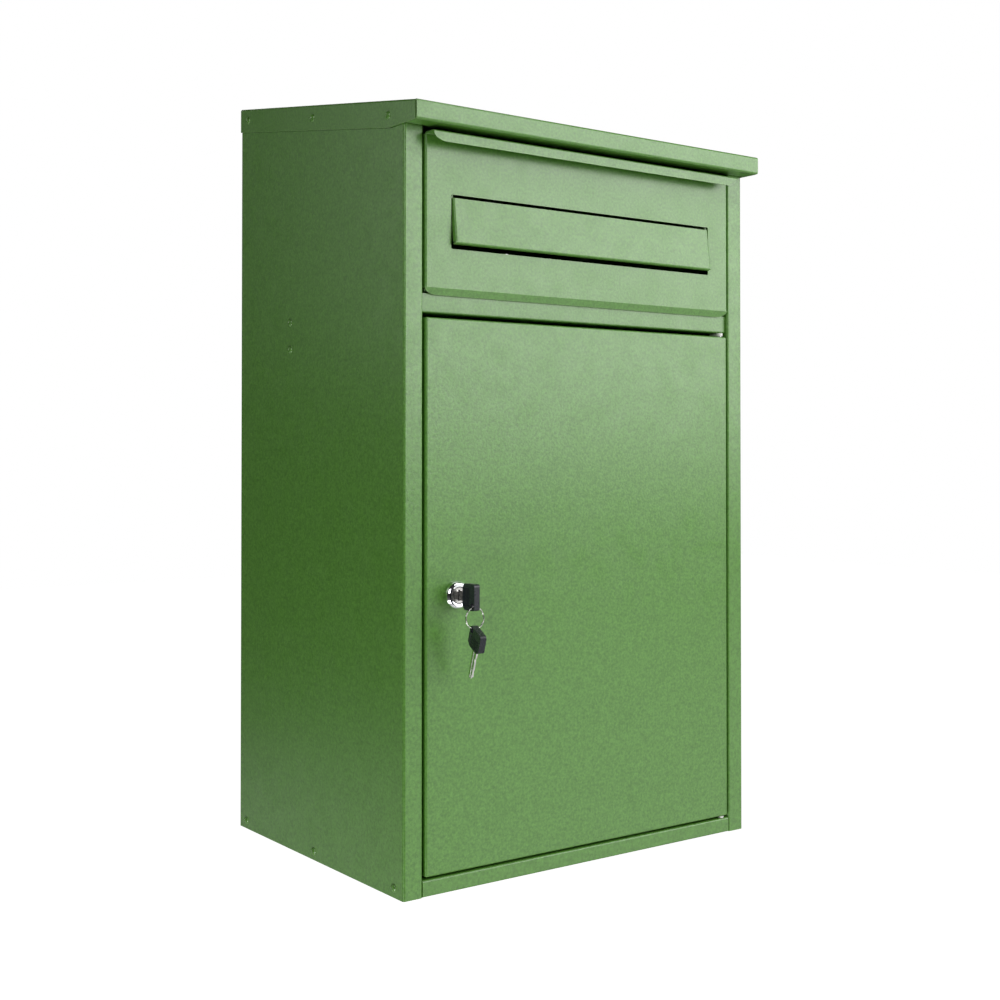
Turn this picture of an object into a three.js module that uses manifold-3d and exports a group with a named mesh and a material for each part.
// Wall mounted parcel mailbox of folded sheet steel: a cabinet with a sloping roof, a pull-down
// hopper with a letter flap in its front, and a lockable emptying door below it.
// Millimetres, +X to the right, +Z up, and the front faces -Y.
// Every piece is drawn in the cabinet's own frame, in which Y = 0 is the front plane of the stiles
// and Z = 0 is the underside of the floor. The last lines move the cabinet so that the origin is
// the middle of the back panel's wall face.
import * as THREE from "three";
import { mergeVertices } from "three/addons/utils/BufferGeometryUtils.js";
import Module from "manifold-3d";

const wasm = await Module();
wasm.setup();

// ---- Driving dimensions ----

const SHEET = 1; // thickness of every folded sheet
const GAP = 0.3; // air left between pieces that touch
const BEND = 1.4; // bend radius at the middle of a fold

const WIDTH = 360; // across the side walls
const DEPTH = 276; // front plane to wall face
const ROOF_FRONT_HEIGHT = 602;
const ROOF_SLOPE = 1 / 6;
const ROOF_OVERHANG = 20;
const ROOF_LIP = 14.8; // height of the roof's front lip
const ROOF_RETURN = 17; // depth of the strip folded back under the lip
const ROOF_SKIRT = 21.3; // height of the roof's side flanges
const MOUNT_HEIGHT = 326; // height of the origin above the underside

const STILE = 17.3; // width of the front stiles
const STILE_RETURN = 18; // depth of the stiles' inner flange
const FLANGE = 15; // height of the floor's upturned edges
const BASE_RAIL_TOP = 12.9;
const CROSS_RAIL = { bottom: 445.2, top: 460.2, recess: 3.2, depth: 16 };

const DOOR = { left: -160.3, right: 161, bottom: 15, top: 441.6, face: -0.5, depth: 14.5 };
const DOOR_HINGE = { x: 155.5, y: 3.2 };
const LOCK = { x: -132.5, z: 228 };

const HOPPER = { halfWidth: 161, bottom: 464.4, top: 583, face: -1 };
const HANDLE = { reach: 12, lip: 8, corner: 12 };
const HOPPER_PIVOT = { y: 11, z: 454 };
const HOPPER_STOP_ANGLE = 45; // the stop tabs meet the stiles' flanges here
const SLOT = { halfWidth: 137.5, bottom: 495.5, top: 537.7 };
const FLAP_PIVOT = { y: 2.6, z: 532.8 };

const KEY = { headLength: 16, headHeight: 20.4, headThickness: 5, headStart: -12.7, blade: 1.4 };
const KEY_HOLE = { y: -25.8, z: LOCK.z - 6.5, radius: 2.3 };
const KEY_RING = { radius: 8.2, wire: 0.65, sag: 0.9 };
const SPARE_KEY = { lean: 22, turn: 11 };

const halfWidth = WIDTH / 2;
const opening = halfWidth - STILE;
const wall = halfWidth - SHEET; // inner face of a side wall
const degrees = Math.PI / 180;

// ---- Materials ----

const enamel = () => new THREE.MeshStandardMaterial({ color: 0x86a973, roughness: 0.5, metalness: 0.1 });
const zinc = () => new THREE.MeshStandardMaterial({ color: 0xb9bcbd, roughness: 0.35, metalness: 1 });
const chrome = () => new THREE.MeshStandardMaterial({ color: 0xdedfe0, roughness: 0.08, metalness: 1 });
const nickel = () => new THREE.MeshStandardMaterial({ color: 0xc9c6bd, roughness: 0.25, metalness: 1 });
const nylon = () => new THREE.MeshStandardMaterial({ color: 0xe9e9e2, roughness: 0.5, metalness: 0 });
const blackPlastic = () => new THREE.MeshStandardMaterial({ color: 0x23262a, roughness: 0.45, metalness: 0 });

// ---- Solids ----

function solidOf(geometry) {
  const bare = geometry.clone();
  bare.deleteAttribute("normal");
  bare.deleteAttribute("uv");
  const merged = mergeVertices(bare, 1e-4);
  return new wasm.Manifold(
    new wasm.Mesh({
      numProp: 3,
      vertProperties: new Float32Array(merged.attributes.position.array),
      triVerts: new Uint32Array(merged.index.array),
    }),
  );
}

function geometryOf(solid) {
  const mesh = solid.getMesh();
  const geometry = new THREE.BufferGeometry();
  geometry.setAttribute("position", new THREE.BufferAttribute(mesh.vertProperties, 3));
  geometry.setIndex(new THREE.BufferAttribute(mesh.triVerts, 1));
  const faceted = geometry.toNonIndexed();
  faceted.computeVertexNormals();
  return faceted;
}

function join(...geometries) {
  return geometryOf(geometries.map(solidOf).reduce((whole, next) => whole.add(next)));
}

function cut(geometry, ...tools) {
  return geometryOf(tools.map(solidOf).reduce((rest, tool) => rest.subtract(tool), solidOf(geometry)));
}

function common(geometry, other) {
  return geometryOf(solidOf(geometry).intersect(solidOf(other)));
}

// A box from its two extreme values along each axis.
function box([x0, x1], [y0, y1], [z0, z1]) {
  const geometry = new THREE.BoxGeometry(x1 - x0, y1 - y0, z1 - z0);
  return geometry.translate((x0 + x1) / 2, (y0 + y1) / 2, (z0 + z1) / 2);
}

// An outline pushed along one axis. Outlines across X are given as (Y, Z), across Y as (X, Z)
// and across Z as (X, Y).
function extrude(outline, axis, from, to) {
  const shape = outline instanceof THREE.Shape
    ? outline
    : new THREE.Shape(outline.map(([u, v]) => new THREE.Vector2(u, v)));
  const geometry = new THREE.ExtrudeGeometry(shape, {
    depth: to - from,
    bevelEnabled: false,
    curveSegments: 12,
  });
  const turn = new THREE.Matrix4();
  if (axis === "x") {
    turn.makeBasis(new THREE.Vector3(0, 1, 0), new THREE.Vector3(0, 0, 1), new THREE.Vector3(1, 0, 0));
    return geometry.applyMatrix4(turn).translate(from, 0, 0);
  }
  if (axis === "y") {
    turn.makeBasis(new THREE.Vector3(1, 0, 0), new THREE.Vector3(0, 0, 1), new THREE.Vector3(0, -1, 0));
    return geometry.applyMatrix4(turn).translate(0, to, 0);
  }
  return geometry.translate(0, 0, from);
}

// A round bar along an axis, from one value to another, centred on the other two coordinates.
function bar(axis, radius, from, to, [u, v], sides = 16) {
  const geometry = new THREE.CylinderGeometry(radius, radius, to - from, sides);
  const middle = (from + to) / 2;
  if (axis === "x") return geometry.rotateZ(Math.PI / 2).translate(middle, u, v);
  if (axis === "y") return geometry.translate(u, middle, v);
  return geometry.rotateX(Math.PI / 2).translate(u, v, middle);
}

// A turned piece: the profile is (radius, distance along the axis) and starts and ends on the axis
// or closes on itself. The axis is Y.
function turned(profile, sides = 24) {
  return new THREE.LatheGeometry(profile.map(([r, h]) => new THREE.Vector2(r, h)), sides);
}

// The same path with every straight run moved sideways, to the left for a positive distance.
function offsetPath(path, distance) {
  const normals = path.slice(1).map(([u, v], i) => {
    const du = u - path[i][0];
    const dv = v - path[i][1];
    const length = Math.hypot(du, dv);
    return [-dv / length, du / length];
  });
  return path.map(([u, v], i) => {
    const before = normals[Math.max(i - 1, 0)];
    const after = normals[Math.min(i, normals.length - 1)];
    const share = distance / (1 + before[0] * after[0] + before[1] * after[1]);
    return [u + (before[0] + after[0]) * share, v + (before[1] + after[1]) * share];
  });
}

// The outline of a folded sheet seen along its folds. The path runs along one face of the sheet and
// the sheet lies to its left (side 1) or right (side -1). Every corner is a round bend.
function folded(path, side, bend = BEND, steps = 3) {
  const middle = offsetPath(path, (side * SHEET) / 2);
  const left = [];
  const right = [];
  const put = (point, direction) => {
    const shift = SHEET / 2;
    left.push([point[0] - direction[1] * shift, point[1] + direction[0] * shift]);
    right.unshift([point[0] + direction[1] * shift, point[1] - direction[0] * shift]);
  };
  const directions = middle.slice(1).map(([u, v], i) => {
    const length = Math.hypot(u - middle[i][0], v - middle[i][1]);
    return [(u - middle[i][0]) / length, (v - middle[i][1]) / length];
  });
  put(middle[0], directions[0]);
  for (let i = 1; i < middle.length - 1; i++) {
    const [before, after] = [directions[i - 1], directions[i]];
    const across = before[0] * after[1] - before[1] * after[0];
    const along = before[0] * after[0] + before[1] * after[1];
    const angle = Math.atan2(across, along);
    const setback = bend * Math.tan(Math.abs(angle) / 2);
    const start = [middle[i][0] - before[0] * setback, middle[i][1] - before[1] * setback];
    const turn = Math.sign(angle);
    const centre = [start[0] - before[1] * bend * turn, start[1] + before[0] * bend * turn];
    for (let step = 0; step <= steps; step++) {
      const swing = (angle * step) / steps;
      const direction = [
        before[0] * Math.cos(swing) - before[1] * Math.sin(swing),
        before[0] * Math.sin(swing) + before[1] * Math.cos(swing),
      ];
      put([centre[0] + direction[1] * bend * turn, centre[1] - direction[0] * bend * turn], direction);
    }
  }
  put(middle[middle.length - 1], directions[directions.length - 1]);
  return [...left, ...right];
}

const roofTop = (y) => ROOF_FRONT_HEIGHT + (y + ROOF_OVERHANG) * ROOF_SLOPE;
const roofUnderside = (y) => roofTop(y) - SHEET * Math.hypot(1, ROOF_SLOPE);

const cabinet = new THREE.Group();

function add(name, geometry, material, group = cabinet) {
  const mesh = new THREE.Mesh(geometry, material);
  mesh.name = name;
  group.add(mesh);
  return mesh;
}

const sides = [
  { name: "left", sign: -1 },
  { name: "right", sign: 1 },
];
// Two limits along X for a piece given on the right side, in rising order on either side.
const span = (sign, a, b) => [Math.min(sign * a, sign * b), Math.max(sign * a, sign * b)];

// ---- Rivets ----

const RIVET = { head: 3.3, dome: 1.5, shank: 1.6, tail: 2.4, hole: 1.9 };

// A blind rivet along X: the dome stands on the outer face at x and the tail is pulled up behind
// the two sheets, whose whole thickness is grip.
function rivet(sign, x, grip, y, z) {
  const { head, dome, shank, tail } = RIVET;
  const inner = -grip - GAP;
  const profile = [
    [0, dome],
    [head * 0.55, dome * 0.8],
    [head * 0.9, dome * 0.4],
    [head, GAP],
    [shank, GAP],
    [shank, inner],
    [tail, inner - 0.4],
    [tail * 0.8, inner - 1.8],
    [0, inner - 2],
  ].reverse();
  const geometry = turned(profile, 12).rotateZ((-sign * Math.PI) / 2);
  return geometry.translate(x, y, z);
}

const rivetHole = (sign, y, z, from, to) => bar("x", RIVET.hole, ...span(sign, from, to), [y, z], 12);

const baseRivets = [
  { name: "front", y: 13.9, z: 7.5 },
  { name: "middle", y: 139.2, z: 7.5 },
  { name: "rear", y: 263.7, z: 7.5 },
];
const roofRivets = [
  { name: "front", y: 21, z: 597.1 },
  { name: "middle", y: 140.9, z: 617.8 },
  { name: "rear", y: 260.6, z: 638.4 },
];
const baffleRivets = [
  { name: "upper", y: 182.3, z: 449.6 },
  { name: "lower", y: 182.3, z: 426.4 },
];

// ---- Side walls, back and floor ----

const underRoof = extrude(
  [
    [-1, -1],
    [DEPTH + 1, -1],
    [DEPTH + 1, roofUnderside(DEPTH + 1) - GAP],
    [-1, roofUnderside(-1) - GAP],
  ],
  "x",
  -halfWidth - 1,
  halfWidth + 1,
);

const HOPPER_PIN = { radius: 2.5, hole: 2.75 };

for (const { name, sign } of sides) {
  const plan = folded(
    [
      [sign * halfWidth, DEPTH],
      [sign * halfWidth, 0],
      [sign * opening, 0],
      [sign * opening, STILE_RETURN],
    ],
    sign < 0 ? 1 : -1,
  );
  const holes = [...baseRivets, ...roofRivets, ...baffleRivets].map(({ y, z }) =>
    rivetHole(sign, y, z, wall - 1, halfWidth + 1),
  );
  const pinHole = bar(
    "x",
    HOPPER_PIN.hole,
    ...span(sign, opening - 2, opening + 2),
    [HOPPER_PIVOT.y, HOPPER_PIVOT.z],
  );
  const blank = extrude(plan, "z", 0, roofTop(DEPTH));
  add(`side_panel_${name}`, cut(common(blank, underRoof), ...holes, pinHole), enamel());
}

const backTop = roofUnderside(DEPTH - SHEET) - GAP;
const wallHoles = [-1, 1].flatMap((side) =>
  [110, 540].map((z) => bar("y", 4.25, DEPTH - 3, DEPTH + 1, [side * 120, z])),
);
const backEdges = sides.map(({ sign }) =>
  box(span(sign, wall - GAP - SHEET, wall - GAP), [DEPTH - 16, DEPTH - SHEET / 2], [FLANGE + 2, 625]),
);
add(
  "back_panel",
  cut(
    join(box([-wall + GAP, wall - GAP], [DEPTH - SHEET, DEPTH], [0, backTop]), ...backEdges),
    ...wallHoles,
  ),
  enamel(),
);

const floorRear = DEPTH - SHEET - GAP;
const floorFront = STILE_RETURN + 0.5; // the floor's wide part starts behind the stiles
const rail = opening - GAP;
const FLOOR_PIN = { y: 9.5, hole: 2.2 };
const floorParts = [
  box([-wall + GAP, wall - GAP], [floorFront, floorRear], [0, SHEET]),
  box([-rail, rail], [1, floorFront + 1], [0, SHEET]),
  box([-wall + GAP, wall - GAP], [floorRear - SHEET, floorRear], [0, FLANGE]),
  ...sides.map(({ sign }) =>
    box(span(sign, wall - GAP - SHEET, wall - GAP), [floorFront, floorRear], [0, FLANGE]),
  ),
  extrude(
    folded(
      [
        [14, BASE_RAIL_TOP],
        [0, BASE_RAIL_TOP],
        [0, 0],
        [12, 0],
      ],
      1,
    ),
    "x",
    -rail,
    rail,
  ),
];
const floorHoles = [
  ...sides.flatMap(({ sign }) =>
    baseRivets.slice(1).map(({ y, z }) => rivetHole(sign, y, z, wall - 3, wall + 1)),
  ),
  bar("z", 1.95, 10, 14, [DOOR_HINGE.x, DOOR_HINGE.y]),
  bar("z", FLOOR_PIN.hole, 10, 14, [DOOR_HINGE.x, FLOOR_PIN.y]),
];
add("floor_pan", cut(join(...floorParts), ...floorHoles), enamel());

// ---- Cross rail between the door and the hopper ----

const ear = HOPPER.halfWidth - SHEET - GAP; // outer face of the hopper's cheeks
const railParts = folded(
  [
    [CROSS_RAIL.recess, CROSS_RAIL.top],
    [CROSS_RAIL.recess, CROSS_RAIL.bottom],
    [CROSS_RAIL.depth, CROSS_RAIL.bottom],
  ],
  1,
  1,
);
const bushPegHole = bar("z", FLOOR_PIN.hole, 440, 450, [DOOR_HINGE.x, FLOOR_PIN.y]);
add("cross_rail", cut(extrude(railParts, "x", -rail, rail), bushPegHole), enamel());

// ---- Roof ----

const skirt = halfWidth + GAP; // inner face of the roof's side flanges
const lipBottom = ROOF_FRONT_HEIGHT - ROOF_LIP;
const roofSheet = extrude(
  folded(
    [
      [-ROOF_OVERHANG + ROOF_RETURN, lipBottom],
      [-ROOF_OVERHANG, lipBottom],
      [-ROOF_OVERHANG, roofTop(-ROOF_OVERHANG)],
      [DEPTH, roofTop(DEPTH)],
    ],
    -1,
  ),
  "x",
  -skirt - SHEET,
  skirt + SHEET,
);
const skirtKnee = (lipBottom + ROOF_SKIRT - ROOF_FRONT_HEIGHT) / ROOF_SLOPE - ROOF_OVERHANG;
const skirtOutline = [
  [-ROOF_OVERHANG + 0.5, lipBottom],
  [skirtKnee, lipBottom],
  [DEPTH, roofTop(DEPTH) - ROOF_SKIRT],
  [DEPTH, roofTop(DEPTH) - 0.5],
  [-ROOF_OVERHANG + 0.5, roofTop(-ROOF_OVERHANG) - 0.5],
];
const skirts = sides.map(({ sign }) => extrude(skirtOutline, "x", ...span(sign, skirt, skirt + SHEET)));
const roofHoles = sides.flatMap(({ sign }) =>
  roofRivets.map(({ y, z }) => rivetHole(sign, y, z, halfWidth - 1, skirt + SHEET + 1)),
);
add("roof_cap", cut(join(roofSheet, ...skirts), ...roofHoles), enamel());

// ---- Baffle behind the hopper, which keeps a hand out of the cabinet ----

const BAFFLE = { front: [142, 412], rear: [floorRear - SHEET, 478], lip: 12 };
const baffleWall = wall - GAP;
const baffleSheet = extrude(
  folded(
    [
      [BAFFLE.front[0] - 2, BAFFLE.front[1] - BAFFLE.lip],
      BAFFLE.front,
      BAFFLE.rear,
      [BAFFLE.rear[0], BAFFLE.rear[1] + BAFFLE.lip],
    ],
    -1,
  ),
  "x",
  -baffleWall,
  baffleWall,
);
const baffleTabs = sides.map(({ sign }) =>
  box(span(sign, baffleWall - SHEET, baffleWall), [172, 193], [418, 458]),
);
const baffleHoles = sides.flatMap(({ sign }) =>
  baffleRivets.map(({ y, z }) => rivetHole(sign, y, z, wall - 3, wall + 1)),
);
const baffleNotches = sides.map(({ sign }) => box(span(sign, wall - 2, wall), [255, DEPTH], [400, 500]));
add(
  "baffle_plate",
  cut(join(baffleSheet, ...baffleTabs), ...baffleHoles, ...baffleNotches),
  enamel(),
);

for (const { name: side, sign } of sides) {
  for (const { name, y, z } of baseRivets) {
    add(`base_rivet_${side}_${name}`, rivet(sign, sign * halfWidth, 2 * SHEET + GAP, y, z), enamel());
  }
  for (const { name, y, z } of roofRivets) {
    const outer = sign * (skirt + SHEET);
    add(`roof_rivet_${side}_${name}`, rivet(sign, outer, 2 * SHEET + GAP, y, z), enamel());
  }
  for (const { name, y, z } of baffleRivets) {
    add(`baffle_rivet_${side}_${name}`, rivet(sign, sign * halfWidth, 2 * SHEET + GAP, y, z), enamel());
  }
}

// ---- Door ----

const doorPlan = folded(
  [
    [DOOR.left, DOOR.depth + DOOR.face],
    [DOOR.left, DOOR.face],
    [DOOR.right, DOOR.face],
    [DOOR.right, DOOR.depth + DOOR.face],
  ],
  1,
);
const doorEdges = [
  [DOOR.bottom, DOOR.bottom + SHEET],
  [DOOR.top - SHEET, DOOR.top],
].map((z) => box([DOOR.left + 0.5, DOOR.right - 0.5], [DOOR.face + 0.3, DOOR.depth + DOOR.face], z));
const DOOR_PIN = { radius: 1.75, hole: 1.95, head: 2.4 };
const doorHoles = [
  bar("y", 9.7, -3, 3, [LOCK.x, LOCK.z], 24),
  bar("z", DOOR_PIN.hole, DOOR.bottom - 1, DOOR.bottom + 3, [DOOR_HINGE.x, DOOR_HINGE.y]),
  bar("z", DOOR_PIN.hole, DOOR.top - 3, DOOR.top + 1, [DOOR_HINGE.x, DOOR_HINGE.y]),
];
add(
  "door_panel",
  cut(join(extrude(doorPlan, "z", DOOR.bottom, DOOR.top), ...doorEdges), ...doorHoles),
  enamel(),
);

// A pivot pin: its head lies against the inner side of the door's edge and its shank passes the
// edge and the bush. Up is 1 for the top pin and -1 for the bottom one.
function doorPin(up, edge, length) {
  const { radius, head } = DOOR_PIN;
  const profile = [
    [0, -SHEET - GAP - 1.5],
    [head, -SHEET - GAP - 1.5],
    [head, -SHEET - GAP],
    [radius, -SHEET - GAP],
    [radius, length - 0.4],
    [radius - 0.4, length],
    [0, length],
  ];
  return turned(profile, 16)
    .rotateX((up * Math.PI) / 2)
    .translate(DOOR_HINGE.x, DOOR_HINGE.y, edge);
}
add("door_pin_top", doorPin(1, DOOR.top, 3), zinc());
add("door_pin_bottom", doorPin(-1, DOOR.bottom, 1.7), zinc());

// A nylon bush: a flat pad with the pin's bore near its front and a snap peg through the rail.
function doorBush([low, high], pegTo) {
  const pad = box([DOOR_HINGE.x - 5, DOOR_HINGE.x + 5], [0.9, 12.8], [low, high]);
  const pegEnds = pegTo > high ? [low, pegTo] : [pegTo, high];
  const peg = bar("z", 1.9, ...pegEnds, [DOOR_HINGE.x, FLOOR_PIN.y]);
  return cut(join(pad, peg), bar("z", 2, low - 1, high + 1, [DOOR_HINGE.x, DOOR_HINGE.y]));
}
add("door_bush_top", doorBush([DOOR.top + 0.7, CROSS_RAIL.bottom - GAP], 448.5), nylon());
add("door_bush_bottom", doorBush([BASE_RAIL_TOP + GAP, DOOR.bottom - 0.4], 9.5), nylon());

// ---- Lock ----

const toLock = (geometry) => geometry.translate(LOCK.x, 0, LOCK.z);
const LOCK_BORE = 6.6;
const lockBody = turned([
  [LOCK_BORE, -5.2],
  [8.6, -5.6],
  [10.4, -4.2],
  [11, -2.2],
  [11, DOOR.face - GAP],
  [9.4, DOOR.face - GAP],
  [9.4, 17.5],
  [LOCK_BORE, 17.5],
  [LOCK_BORE, -5.2],
]);
add("lock_housing", toLock(lockBody), chrome());

const nutOutline = Array.from({ length: 6 }, (_, corner) => [
  13.5 * Math.cos(corner * 60 * degrees),
  13.5 * Math.sin(corner * 60 * degrees),
]);
const nut = cut(extrude(nutOutline, "y", 0.9, 4.4), bar("y", 9.7, 0, 6, [0, 0], 24));
add("lock_nut", toLock(nut), zinc());

const plugBody = turned([
  [0, -4.8],
  [6.1, -4.8],
  [6.3, -4.4],
  [6.3, 17.8],
  [4.9, 17.8],
  [0, 17.8],
]);
const plug = cut(
  join(plugBody, box([-3.5, 3.5], [17, 21], [-3.5, 3.5])),
  box([-1, 1], [-6, 13.5], [-4.2, 4.2]),
  bar("y", 2.2, 15, 22, [0, 0], 12),
);
add("lock_plug", toLock(plug), nickel());

const CAM = { from: 18.2, to: 20.2, halfWidth: 8, length: 38 };
const camShape = new THREE.Shape();
camShape.moveTo(-CAM.halfWidth, 0);
camShape.absarc(0, 0, CAM.halfWidth, Math.PI, 2 * Math.PI, false);
camShape.lineTo(CAM.halfWidth, CAM.length - 3);
camShape.lineTo(CAM.halfWidth - 3, CAM.length);
camShape.lineTo(-CAM.halfWidth + 3, CAM.length);
camShape.lineTo(-CAM.halfWidth, CAM.length - 3);
const cam = cut(extrude(camShape, "y", CAM.from, CAM.to), box([-3.8, 3.8], [16, 23], [-3.8, 3.8]));
add("lock_cam", toLock(cam), zinc());

const camScrew = turned([
  [0, 15.6],
  [1.9, 15.6],
  [1.9, 21.3],
  [5.5, 21.3],
  [5.5, 22.6],
  [4, 23.8],
  [0, 23.8],
], 20);
add("cam_screw", toLock(cut(camScrew, box([-7, 7], [22.8, 25], [-0.6, 0.6]))), zinc());

// ---- Keys ----

// A key lies in its own YZ plane with its blade on the Y axis, pointing along +Y.
const keyOuterEnd = KEY.headStart - KEY.headLength;
const headHalf = KEY.headHeight / 2;
const headShape = new THREE.Shape();
headShape.moveTo(KEY.headStart, -headHalf + 3.5);
headShape.lineTo(KEY.headStart, headHalf - 3.5);
headShape.lineTo(KEY.headStart - 2.5, headHalf);
headShape.lineTo(keyOuterEnd + 3, headHalf);
headShape.absarc(keyOuterEnd + 3, headHalf - 3, 3, Math.PI / 2, Math.PI, false);
headShape.lineTo(keyOuterEnd, -headHalf + 3);
headShape.absarc(keyOuterEnd + 3, -headHalf + 3, 3, Math.PI, 1.5 * Math.PI, false);
headShape.lineTo(KEY.headStart - 2.5, -headHalf);
const holeInHead = [KEY_HOLE.y, KEY_HOLE.z - LOCK.z];
const headSolid = extrude(headShape, "x", -KEY.headThickness / 2, KEY.headThickness / 2);
const keyHead = () =>
  cut(
    headSolid,
    bar("x", KEY_HOLE.radius, -4, 4, holeInHead),
    box([-KEY.blade / 2 - GAP, KEY.blade / 2 + GAP], [KEY.headStart - 9, KEY.headStart + 1], [-4.3, 4.3]),
  );
const BLADE_TIP = 11.5;
const bladeOutline = [
  [KEY.headStart - 8.5, -4],
  [KEY.headStart + 1.5, -4],
  [KEY.headStart + 2, -3.7],
  [BLADE_TIP - 2, -3.7],
  [BLADE_TIP, -1],
  [BLADE_TIP, 1],
  [BLADE_TIP - 2, 3],
  [BLADE_TIP - 5, 2.2],
  [BLADE_TIP - 8, 3.2],
  [BLADE_TIP - 11, 1.9],
  [BLADE_TIP - 14, 3],
  [BLADE_TIP - 17, 2.5],
  [BLADE_TIP - 19, 3.7],
  [KEY.headStart + 2, 3.7],
  [KEY.headStart + 1.5, 4],
  [KEY.headStart - 8.5, 4],
];
const keyBlade = () => extrude(bladeOutline, "x", -KEY.blade / 2, KEY.blade / 2);

const lockKey = new THREE.Group();
lockKey.position.set(LOCK.x, 0, LOCK.z);
cabinet.add(lockKey);
add("key_head", keyHead(), blackPlastic(), lockKey);
add("key_blade", keyBlade(), nickel(), lockKey);

const ringTop = KEY_HOLE.z - KEY_RING.sag;
const ring = new THREE.TorusGeometry(KEY_RING.radius, KEY_RING.wire, 8, 32).rotateX(Math.PI / 2);
ring.translate(LOCK.x, KEY_HOLE.y, ringTop - KEY_RING.radius);
add("key_ring", ring, nickel());

// The spare key hangs from the ring by the same hole, so it leans until its weight is under it.
const spareKey = new THREE.Group();
spareKey.position.set(LOCK.x, KEY_HOLE.y, ringTop - 2 * KEY_RING.radius - KEY_RING.sag);
spareKey.rotation.set((-90 + SPARE_KEY.lean) * degrees, 0, -SPARE_KEY.turn * degrees, "ZYX");
cabinet.add(spareKey);
const onHole = (geometry) => geometry.translate(0, -holeInHead[0], -holeInHead[1]).rotateY(Math.PI);
add("spare_key_head", onHole(keyHead()), blackPlastic(), spareKey);
add("spare_key_blade", onHole(keyBlade()), nickel(), spareKey);

// ---- Hopper ----

const inner = HOPPER.halfWidth - SHEET;
const handleFront = HOPPER.face - HANDLE.reach;
const LIP_EDGE = [1.6, 459.1]; // free edge of the lip along the hopper's foot
const hopperSheet = extrude(
  folded(
    [
      [handleFront, HOPPER.top - HANDLE.lip],
      [handleFront, HOPPER.top],
      [HOPPER.face + SHEET, HOPPER.top],
      [HOPPER.face + SHEET, HOPPER.bottom + 0.2],
      [LIP_EDGE[0] + 0.9, LIP_EDGE[1] + 0.45],
    ],
    -1,
    0.8,
  ),
  "x",
  -HOPPER.halfWidth,
  HOPPER.halfWidth,
);

// What is cut away to leave a rounded corner of the given width and height. The corner's outer
// point is (x, z) and the arc ends level with the straight edge at z.
function cornerWaste(sign, x, z, width, height, [y0, y1]) {
  const shape = new THREE.Shape();
  const middle = x - width;
  shape.moveTo(sign * (x + 1), z - 1);
  shape.lineTo(sign * (x + 1), z + height);
  shape.lineTo(sign * x, z + height);
  for (let step = 1; step <= 6; step++) {
    const swing = (step * 15) * degrees;
    shape.lineTo(sign * (middle + width * Math.cos(swing)), z + height - height * Math.sin(swing));
  }
  shape.lineTo(sign * middle, z - 1);
  return extrude(shape, "y", y0, y1);
}

const handleBottom = HOPPER.top - HANDLE.lip;
const cornerCuts = sides.flatMap(({ sign }) => [
  cornerWaste(sign, HOPPER.halfWidth, handleBottom, HANDLE.corner, HANDLE.lip - 1, [
    handleFront - 1,
    handleFront + SHEET + 0.5,
  ]),
  cornerWaste(sign, HOPPER.halfWidth, LIP_EDGE[1], HANDLE.corner, 5.2, [HOPPER.face - 1, 6]),
]);
const hopperEdges = sides.map(({ sign }) =>
  box(span(sign, inner, HOPPER.halfWidth), [HOPPER.face + 0.3, 8], [466, HOPPER.top - 1.5]),
);
const slotHole = box([-SLOT.halfWidth, SLOT.halfWidth], [-4, 4], [SLOT.bottom, SLOT.top]);
add("hopper_panel", cut(join(hopperSheet, ...hopperEdges), ...cornerCuts, slotHole), enamel());

// The tray is welded to the back of the panel and slopes down behind it while the hopper is shut.
const TRAY = { weldTop: 490, front: [0.4, 470.5], slope: 30, length: 125, rearLip: 8 };
const trayRear = [
  TRAY.front[0] + TRAY.length * Math.cos(TRAY.slope * degrees),
  TRAY.front[1] - TRAY.length * Math.sin(TRAY.slope * degrees),
];
const trayHalf = ear - SHEET - GAP;
const traySheet = extrude(
  folded(
    [
      [TRAY.front[0], TRAY.weldTop],
      TRAY.front,
      trayRear,
      [trayRear[0] - TRAY.rearLip * 0.5, trayRear[1] - TRAY.rearLip * 0.87],
    ],
    1,
  ),
  "x",
  -trayHalf,
  trayHalf,
);
const trayEdges = sides.map(({ sign }) =>
  extrude(
    [
      [TRAY.front[0] + 10, TRAY.front[1] - 5.5],
      [trayRear[0] - 8, trayRear[1] + 4.9],
      [trayRear[0] - 3.5, trayRear[1] + 12.6],
      [TRAY.front[0] + 14.5, TRAY.front[1] + 2.2],
    ],
    "x",
    ...span(sign, trayHalf - SHEET, trayHalf),
  ),
);
add("hopper_tray", join(traySheet, ...trayEdges), enamel());

// A cheek closes the side of the tray. It carries the pivot pin and the tab that stops the hopper.
const CHEEK_RADIUS = 121;
const EAR_RADIUS = 6.2;
const HOOK_RADIUS = 10.7; // the throat over the ear, which lets in the cross rail's top edge
const cheekFront = HOPPER.face + SHEET + 0.5;
const cheekShape = new THREE.Shape();
const cheekTopAngle = Math.acos((cheekFront - HOPPER_PIVOT.y) / CHEEK_RADIUS);
cheekShape.moveTo(cheekFront, 466);
cheekShape.lineTo(cheekFront, HOPPER_PIVOT.z + CHEEK_RADIUS * Math.sin(cheekTopAngle));
cheekShape.absarc(HOPPER_PIVOT.y, HOPPER_PIVOT.z, CHEEK_RADIUS, cheekTopAngle, -27 * degrees, true);
cheekShape.lineTo(17, 449.7);
cheekShape.absarc(HOPPER_PIVOT.y, HOPPER_PIVOT.z, EAR_RADIUS, -50 * degrees, -275 * degrees, true);
cheekShape.absarc(HOPPER_PIVOT.y, HOPPER_PIVOT.z, HOOK_RADIUS, 87 * degrees, 134 * degrees, false);
const TAB = { radius: 110, angle: HOPPER_STOP_ANGLE + 4.2 }; // clear of the flange by its thickness
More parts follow.
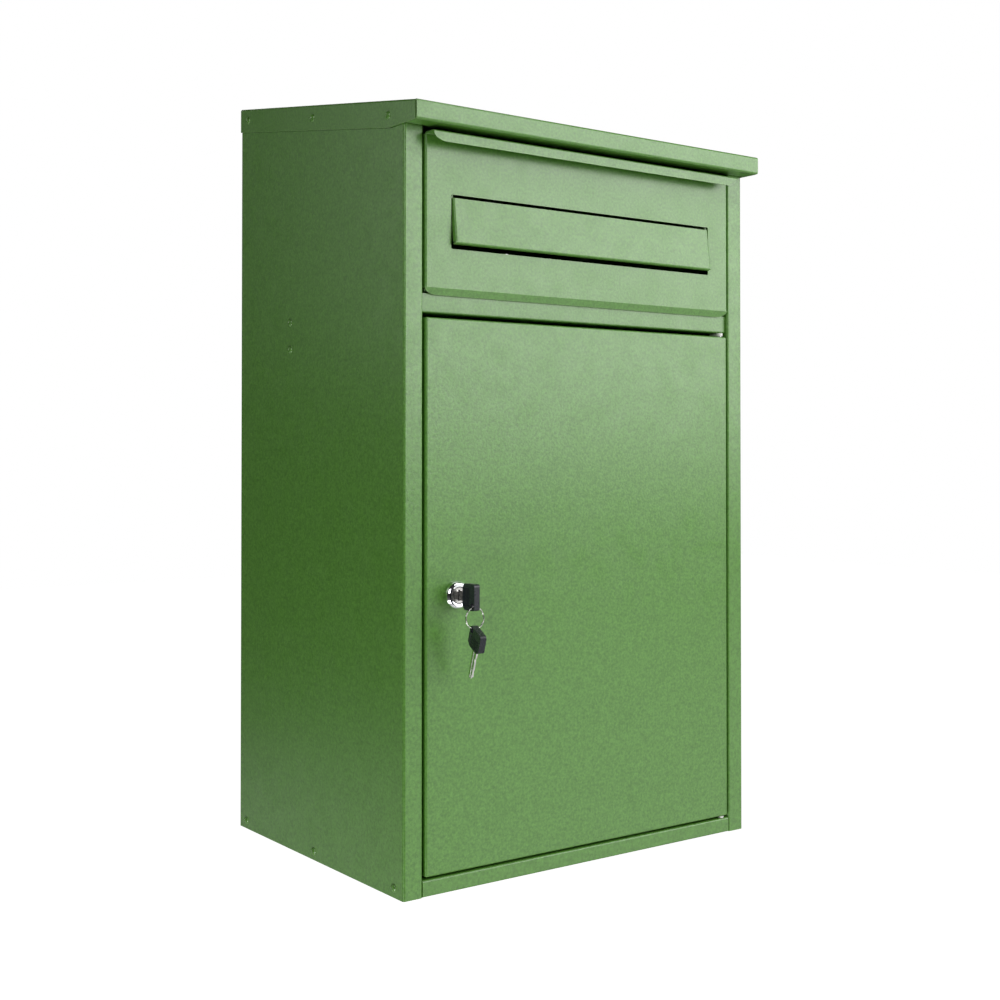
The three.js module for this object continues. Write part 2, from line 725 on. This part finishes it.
for (const { name, sign } of sides) {
  const plate = extrude(cheekShape, "x", ...span(sign, ear - SHEET, ear));
  const tab = box(span(sign, ear - SHEET / 2, ear + 8), [-SHEET / 2, SHEET / 2], [-6, 6])
    .translate(0, 0, TAB.radius)
    .rotateX(-TAB.angle * degrees)
    .translate(0, HOPPER_PIVOT.y, HOPPER_PIVOT.z);
  const pivot = [HOPPER_PIVOT.y, HOPPER_PIVOT.z];
  const pinHole = bar("x", HOPPER_PIN.hole, ...span(sign, ear - 3, ear + 3), pivot);
  add(`hopper_cheek_${name}`, cut(join(plate, tab), pinHole), enamel());

  // The pin's head is inside the cheek, and a push-on clip holds it behind the stile's flange.
  const pinProfile = [
    [0, ear - SHEET - GAP - 1.2],
    [4.2, ear - SHEET - GAP - 1.2],
    [4.2, ear - SHEET - GAP],
    [HOPPER_PIN.radius, ear - SHEET - GAP],
    [HOPPER_PIN.radius, opening + 5.6],
    [HOPPER_PIN.radius - 0.5, opening + 6.1],
    [0, opening + 6.1],
  ];
  const pin = turned(pinProfile, 16).rotateZ((-sign * Math.PI) / 2);
  add(`hopper_pin_${name}`, pin.translate(0, ...pivot), zinc());
  const clip = cut(
    bar("x", 5, ...span(sign, opening + 2.6, opening + 3.6), pivot),
    bar("x", HOPPER_PIN.hole + 0.1, ...span(sign, opening + 1, opening + 6), pivot),
  );
  add(`hopper_pin_clip_${name}`, clip, zinc());
}

// ---- Letter flap ----

const FLAP = { halfWidth: 136.2, top: [-2, 535], foot: [-6.3, 499.5], hem: 4 };
const flapSheet = extrude(
  folded([FLAP.top, FLAP.foot, [FLAP.foot[0] + FLAP.hem, FLAP.foot[1] - 0.5]], 1, 1),
  "x",
  -FLAP.halfWidth,
  FLAP.halfWidth,
);
const flapEndOutline = [
  [-1.6, 534.6],
  [0.35, 536.6],
  [0.35, 540.6],
  [4.4, 540.6],
  [6, 533],
  [3, 529.4],
  [1.2, 526],
  [-2, 500],
  [-5.6, 500],
];
const rodCentre = [FLAP_PIVOT.y, FLAP_PIVOT.z];
const ROD = { radius: 1.5, hole: 1.75, end: 143.2 };
const flapEnds = sides.map(({ sign }) =>
  extrude(flapEndOutline, "x", ...span(sign, FLAP.halfWidth - SHEET, FLAP.halfWidth)),
);
const rodHole = bar("x", ROD.hole, -FLAP.halfWidth - 1, FLAP.halfWidth + 1, rodCentre);
add("letter_flap", cut(join(flapSheet, ...flapEnds), rodHole), enamel());
add("flap_rod", bar("x", ROD.radius, -ROD.end, ROD.end, rodCentre, 12), zinc());

for (const { name, sign } of sides) {
  const tab = box(span(sign, 139, 140), [0.3, 6.6], [520, 538]);
  const foot = box(span(sign, 139, 150), [0.3, 1.3], [520, 529.5]);
  const hole = bar("x", ROD.hole, ...span(sign, 137, 141.5), rodCentre);
  add(`flap_bracket_${name}`, cut(join(tab, foot), hole), enamel());
  const cap = turned([
    [0, 1.6],
    [1.7, 1.6],
    [2.2, 0.8],
    [2.2, -0.8],
    [ROD.hole, -0.8],
    [ROD.hole, 0.8],
    [0, 0.8],
  ].reverse(), 12);
  cap.rotateZ((-sign * Math.PI) / 2).translate(sign * (ROD.end - 0.5), ...rodCentre);
  add(`flap_rod_cap_${name}`, cap, nylon());
}

// ---- The part's frame ----

cabinet.position.set(0, -DEPTH, -MOUNT_HEIGHT);
const mailbox = new THREE.Group();
mailbox.add(cabinet);
export default mailbox;
